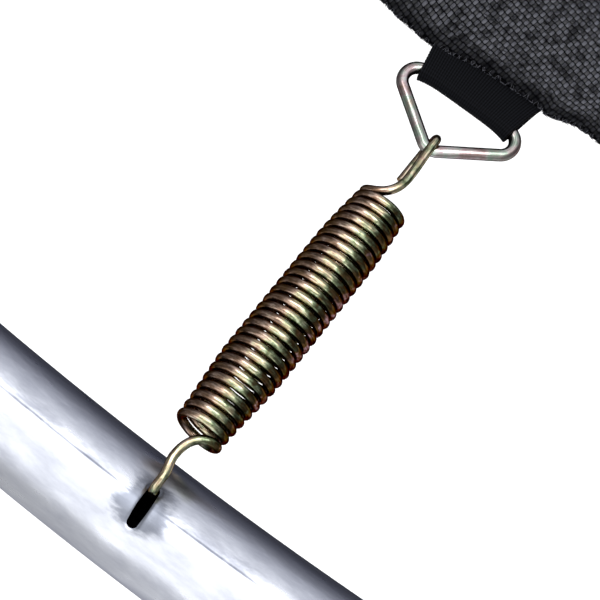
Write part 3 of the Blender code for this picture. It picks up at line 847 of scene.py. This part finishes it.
def polypropyleneTape(name, dark, light, turn, spacing, crossing, side):
    # slit film tape: flat black plastic with a soft shine; painted shade makes it black along its edges and
    # where it dives under
    upper = side > 0                                # the warp lies higher, and its black edges are narrower
    look = dict(edgeShadeFrom=0.33 if upper else 0.26, edgeShadeTo=0.44 if upper else 0.39, swell=-0.09,
                diveShadeFrom=-0.1, diveShadeTo=0.4, worn=0.0045, wornShare=0.25,
                hemShadeFrom=0.002, hemShadeTo=0.0095, hemShadeShare=0.25, shine=0.3, fibre=0.0003)
    material, tree, shader = newMaterial(name, {"Roughness": 0.4})
    flat = addNode(tree, "Attribute", {"attribute_name": "flat"}).outputs["Vector"]
    turned = addNode(tree, "Mapping", inputs={"Vector": flat, "Rotation": (0, 0, -turn)})
    parts = addNode(tree, "SeparateXYZ", inputs=(turned,))
    # which tape it is, how far off its middle, and how high it lies at this crossing
    place = addNode(tree, "Math", {"operation": "DIVIDE"}, (parts.outputs["Y"], spacing))
    number = addNode(tree, "Math", {"operation": "ROUND"}, (place,))
    off = addNode(tree, "Math", {"operation": "SUBTRACT"}, (place, number))
    away = addNode(tree, "Math", {"operation": "ABSOLUTE"}, (off,))
    step = addNode(tree, "Math", timesPlus, (parts.outputs["X"], 1 / crossing, number))
    phase = addNode(tree, "Math", times, (step, math.pi))
    cycle = addNode(tree, "Math", {"operation": "COSINE"}, (phase,))
    # painted shade: the tape goes black where it dives under the other set, and along its edges
    over = addNode(tree, "MapRange", eased, (cycle, side * look["diveShadeFrom"], side * look["diveShadeTo"]))
    narrowed = addNode(tree, "Math", timesPlus, (cycle, side * look["swell"], away))
    inner = addNode(tree, "MapRange", eased, (narrowed, look["edgeShadeFrom"], look["edgeShadeTo"], 1.0, 0.0))
    edgeAndDiveShade = addNode(tree, "Math", times, (inner, over))
    # rubbed in patches, and painted shade darker towards the mat's edge
    rough = addNode(tree, "TexNoise", inputs={
        "Vector": flat, "Scale": 1 / look["worn"], "Detail": 4.0, "Roughness": 0.7})
    worn = addNode(tree, "MapRange", inputs=(rough, 0.36, 0.56, look["wornShare"]))
    hem = addNode(tree, "SeparateXYZ", inputs=(flat,)).outputs["Y"]
    hemShade = addNode(tree, "MapRange", eased,
                       (hem, noseLength + look["hemShadeFrom"], noseLength + look["hemShadeTo"], look["hemShadeShare"]))
    wearAndHemShade = addNode(tree, "Math", times, (worn, hemShade))
    share = addNode(tree, "Math", times, (edgeAndDiveShade, wearAndHemShade))
    # the ramp's black end is the painted shade
    colour = addNode(tree, "ValToRGB", {"stops": [(0.0, "#010102"), (0.35, dark), (1.0, light)]}, (share,))
    shine = addNode(tree, "Math", times, (share, look["shine"]))
    fibre = addNode(tree, "TexNoise", inputs={"Vector": flat, "Scale": 1 / look["fibre"], "Detail": 2.0})
    bump = addNode(tree, "Bump", inputs={"Strength": 0.3, "Distance": 0.00003, "Height": fibre})
    fillSockets(tree, shader, {"Base Color": colour, "Specular IOR Level": shine, "Normal": bump})
    return material


def wovenCore():
    # the mat's back and hem, and under the tapes a near-black sheet as painted shade between them, with the
    # weave's cells as shallow squares
    material, tree, shader = newMaterial("wovenCore", {"Roughness": 0.7, "Specular IOR Level": 0.05})
    flat = addNode(tree, "Attribute", {"attribute_name": "flat"}).outputs["Vector"]
    turned = addNode(tree, "Mapping", inputs={"Vector": flat, "Rotation": (0, 0, -weave["turn"]),
                                              "Scale": (1, weave["warpPitch"] / weave["fillPitch"], 1)})
    cells = addNode(tree, "TexChecker", inputs={"Vector": turned, "Scale": 1 / weave["warpPitch"],
                                                "Color1": linear("#070708"), "Color2": linear("#030303")})
    bump = addNode(tree, "Bump", inputs={"Strength": 0.6, "Distance": 0.0001, "Height": cells.outputs["Fac"]})
    fillSockets(tree, shader, {"Base Color": cells, "Normal": bump})
    return material


def bondedThread():
    # bonded nylon thread: black, twisted every 1.2 mm, slightly glossy
    material, tree, shader = newMaterial("bondedThread", {"Roughness": 0.5, "Specular IOR Level": 0.15})
    place = addNode(tree, "TexCoord").outputs["Object"]
    twist = addNode(tree, "TexWave", {"bands_direction": "DIAGONAL"},
                    {"Vector": place, "Scale": 1 / 0.0012}).outputs["Fac"]
    colour = addNode(tree, "ValToRGB", {"stops": [(0.2, "#050506"), (0.9, "#15161a")]}, (twist,))
    fillSockets(tree, shader, {"Base Color": colour})
    return material


def frayedFilament():
    # single filaments, pale grey and matt
    return newMaterial("frayedFilament", {"Base Color": linear("#55565d"), "Roughness": 0.7,
                                          "Specular IOR Level": 0.2})[0]


# ---- the station

yellow = yellowZinc()
webbingBlack = ribbedWebbing()
thread = bondedThread()

frameTube = makeTube(galvanisedSteel())
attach(frameTube, "frame")
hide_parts("frame_tube")
print("tube:", len(frameTube.data.polygons), "faces")

springWire = makeSpring(yellow)
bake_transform(springWire)
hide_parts("spring_frame_hook", "spring_coil", "spring_mat_hook")
print("spring:", len(springWire.data.polygons), "faces")

ringWire = makeRing(clearZinc())
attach(ringWire, "ring")
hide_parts("v_ring")

webbingTab = makeTab(webbingBlack)
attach(webbingTab, "mat")
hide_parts("webbing_tab")

edgeWebbing = makeEdgeWebbing(webbingBlack)
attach(edgeWebbing, "mat")
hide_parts("edge_webbing")
print("webbing: tab", round(tabLength * 1000, 1), "mm long")

# the core's near-black top under the tapes is a sheet of painted shade
matCloth = makeClothCore(wovenCore())
fillRun = (weave["turn"], weave["fillPitch"], weave["warpPitch"])
warpRun = (weave["turn"] + math.pi / 2, weave["warpPitch"], weave["fillPitch"])
# painted sheen: the warp tapes get lighter colours than the fill tapes, though both are the same black film
fillTapes = makeTapes("fillTapes", *fillRun, weave["fillWidth"], -1,
                      polypropyleneTape("fillTape", "#07080a", "#191a1f", *fillRun, -1))
warpTapes = makeTapes("warpTapes", *warpRun, weave["warpWidth"], 1,
                      polypropyleneTape("warpTape", "#121318", "#383941", *warpRun, 1))
hemStitches = makeStitches("hemStitches", stitch["hemPlaces"], stitch["hemWidth"], thread)
tabStitches = makeStitches("tabStitches", stitch["tabPlaces"], stitch["tabWidth"], thread)
strayFilaments = makeStrays(frayedFilament())
for piece, slot in ((matCloth, "woven_mat"), (fillTapes, "woven_mat"), (warpTapes, "woven_mat"),
                    (hemStitches, "black_thread"), (tabStitches, "black_thread"),
                    (strayFilaments, "woven_mat")):
    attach(piece, "mat")
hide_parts("mat_panel")
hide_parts("hem_stitch_row_1", "hem_stitch_row_2")
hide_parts("tab_stitch_row_1", "tab_stitch_row_2", "tab_stitch_row_3")
print("mat:", [len(piece.data.polygons) for piece in (matCloth, fillTapes, warpTapes)], "faces")


# ---- floor, light and camera

studio = dict(
    floorSize=16.0, floorHeight=-0.27, floor="#f4f4f4",     # legs hold the frame above the ground
    brightest=(0, -0.45, 0.70), strength=2.1, sides=0.25, surface=0.33, surfaceGlow=0.45, lowRight=0.45,
    sky=[(0.07, "#15161c"), (0.12, "#30313b"), (0.19, "#595a63"), (0.27, "#86878f"), (0.38, "#acadb3"),
         (0.50, "#cbccd0"), (0.61, "#e2e2e4"), (0.72, "#f6f6f6"), (0.82, "#ffffff")],
    fill=dict(place=(-0.1, -0.1, 1.4), size=(1.6, 1.6), power=5),
    strip=dict(place=(0.0, 0.2, 0.95), size=(1.05, 0.5), power=5, mirrored=True),
    middle=(0, 0, 0.02),
    camera=dict(place=(0.07739, -0.13897, 0.68714), aim=(-0.00194, -0.03579, 0.02), roll=math.radians(-0.445),
                lens=120.93))


def makeFloor():
    bm = bmesh.new()
    bmesh.ops.create_grid(bm, x_segments=1, y_segments=1, size=studio["floorSize"] / 2)
    bmesh.ops.translate(bm, verts=bm.verts, vec=(0, 0, studio["floorHeight"]))
    paleFloor = newMaterial("paleFloor", {"Base Color": linear(studio["floor"]), "Roughness": 0.9})[0]
    floor = addPiece("floor", meshOf(bm), paleFloor)
    floor.visible_glossy = False


def addSoftbox(name, place, size, power, mirrored=False):
    # one that is mirrored only draws highlights; the others only light the rough surfaces
    light = bpy.data.lights.new(name, "AREA")
    light.shape = "RECTANGLE"
    light.size, light.size_y = size
    light.energy = power
    item = bpy.data.objects.new(name, light)
    item.location = place
    item.rotation_euler = (Vector(studio["middle"]) - Vector(place)).to_track_quat("-Z", "Y").to_euler()
    item.visible_glossy = mirrored
    item.visible_diffuse = not mirrored
    bpy.context.scene.collection.objects.link(item)


def addCamera(place, aim, roll, lens):
    data = bpy.data.cameras.new("camera")
    data.lens = lens
    data.sensor_width = 36
    data.clip_start = 0.01
    item = bpy.data.objects.new("camera", data)
    item.location = place
    turn = (Vector(aim) - Vector(place)).to_track_quat("-Z", "Y").to_matrix() @ Matrix.Rotation(roll, 3, "Z")
    item.rotation_euler = turn.to_euler()
    bpy.context.scene.collection.objects.link(item)
    bpy.context.scene.camera = item


def makeSky():
    # a wide soft light from outside the frame, fading towards the mat, above a pale lit surface
    world = bpy.data.worlds.new("studio")
    world.use_nodes = True
    tree = world.node_tree
    direction = addNode(tree, "TexCoord").outputs["Generated"]
    sides = addNode(tree, "SeparateXYZ", inputs=(direction,))
    facing = addNode(tree, "VectorMath", {"operation": "DOT_PRODUCT"}, (direction, studio["brightest"]))
    share = addNode(tree, "MapRange", inputs=(facing.outputs["Value"], -1.0, 1.0))
    light = addNode(tree, "ValToRGB", {"stops": studio["sky"]}, (share,))
    aside = addNode(tree, "Math", {"operation": "ABSOLUTE"}, (sides.outputs["X"],))
    shade = addNode(tree, "MapRange", eased, (aside, 0.42, 0.8, 1.0, studio["sides"]))
    sky = addNode(tree, "MixRGB", {"blend_type": "MULTIPLY"}, (1.0, light, shade))
    glow = addNode(tree, "MapRange", eased, (sides.outputs["X"], -0.14, 0.02, 0.0, studio["surfaceGlow"]))
    outer = addNode(tree, "MapRange", eased, (sides.outputs["Y"], -0.3, 0.2, 1.0, 0.0))
    lit = addNode(tree, "Math", times, (glow, outer))
    rise = addNode(tree, "MapRange", eased, (sides.outputs["Z"], 0.05, 0.6, studio["surface"], 1.0))
    limit = addNode(tree, "Math", {"operation": "ADD"}, (lit, rise))
    upper = addNode(tree, "MixRGB", {"blend_type": "DARKEN"}, (1.0, sky, limit))
    low = addNode(tree, "MapRange", eased, (sides.outputs["Z"], -0.4, -0.1, studio["lowRight"], 0.0))
    right = addNode(tree, "MapRange", eased, (sides.outputs["X"], 0.3, 0.7))
    bounce = addNode(tree, "Math", times, (low, right))
    whole = addNode(tree, "MixRGB", {"blend_type": "LIGHTEN"}, (1.0, upper, bounce))
    fillSockets(tree, tree.nodes["Background"], {"Color": whole, "Strength": studio["strength"]})
    bpy.context.scene.world = world


makeFloor()
makeSky()
bpy.context.scene.view_settings.view_transform = "Standard"
addSoftbox("fill", **studio["fill"])
addSoftbox("strip", **studio["strip"])
addCamera(**studio["camera"])
